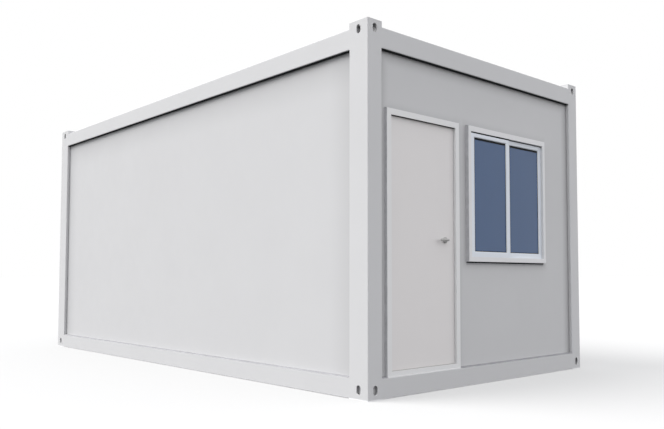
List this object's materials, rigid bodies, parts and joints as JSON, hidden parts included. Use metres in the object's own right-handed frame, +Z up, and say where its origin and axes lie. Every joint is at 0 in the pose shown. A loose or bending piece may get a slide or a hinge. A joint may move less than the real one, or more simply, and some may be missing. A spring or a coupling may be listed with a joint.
{
  "type": "flat-pack container cabin",
  "caption": "Container cabin with a folded steel frame, hollow corner fittings, plain sandwich panel walls, an inward door and a sliding window in one end.",
  "frame": {"origin": "on the ground, under the middle of the cabin", "axes": "+Z up, Y along the length, the end with the door and the window faces -Y, with the door on the -X side"},
  "size_m": [2.99, 6.077, 2.896],
  "materials": {
    "frame_paint": "satin light grey paint",
    "wall_coating": "satin light grey coil coating",
    "black_rubber": "matt",
    "galvanised_sheet": "galvanised and coated",
    "ceiling_coating": "satin white coil coating",
    "floor_board": "grey sheet flooring",
    "door_frame_paint": "satin light grey paint",
    "door_paint": "satin warm white paint",
    "steel_fittings": "satin steel",
    "window_frame_plastic": "smooth pale extrusion",
    "sash_plastic": "smooth bluish white extrusion",
    "window_glass": "tinted float glass"
  },
  "bodies": {
    "cabin": {"corner_post_front_left": "frame_paint", "corner_post_front_right": "frame_paint", "corner_post_rear_left": "frame_paint", "corner_post_rear_right": "frame_paint", "corner_fitting_top_front_left": "frame_paint", "corner_fitting_top_front_right": "frame_paint", "corner_fitting_top_rear_left": "frame_paint", "corner_fitting_top_rear_right": "frame_paint", "corner_fitting_bottom_front_left": "frame_paint", "corner_fitting_bottom_front_right": "frame_paint", "corner_fitting_bottom_rear_left": "frame_paint", "corner_fitting_bottom_rear_right": "frame_paint", "top_rail_left": "frame_paint", "top_rail_right": "frame_paint", "top_rail_front": "frame_paint", "top_rail_rear": "frame_paint", "bottom_rail_left": "frame_paint", "bottom_rail_right": "frame_paint", "bottom_rail_front": "frame_paint", "bottom_rail_rear": "frame_paint", "left_wall": "wall_coating", "right_wall": "wall_coating", "rear_wall": "wall_coating", "front_wall_left": "wall_coating", "front_wall_middle": "wall_coating", "front_wall_under_window": "wall_coating", "front_wall_right": "wall_coating", "front_wall_over_openings": "wall_coating", "top_seals": "black_rubber", "roof_sheet": "galvanised_sheet", "ceiling_panel": "ceiling_coating", "floor_panel": "floor_board", "floor_joists": "galvanised_sheet", "door_jambs": "door_frame_paint", "door_head": "door_frame_paint", "door_threshold": "door_frame_paint", "jamb_hinges": "steel_fittings", "window_jambs": "window_frame_plastic", "window_head": "window_frame_plastic", "window_sill": "window_frame_plastic", "window_sashes": "sash_plastic", "window_glass": "window_glass"},
    "door": {"door_leaf": "door_paint", "leaf_hinges": "steel_fittings", "lever_roses": "steel_fittings"},
    "lever": {"door_lever": "steel_fittings"}
  },
  "joints": [
    {"name": "door_swing", "type": "hinge", "parent": "cabin", "child": "door", "pos_m": [-1.2365, -2.942, 0.185], "axis": [0, 0, 1], "range_deg": [0, 90]},
    {"name": "lever_turn", "type": "hinge", "parent": "door", "child": "lever", "pos_m": [-0.57, -2.9925, 1.23], "axis": [0, -1, 0], "range_deg": [0, 45], "stiffness_Nm_per_rad": 1.5, "springref_deg": -34.38}
  ]
}
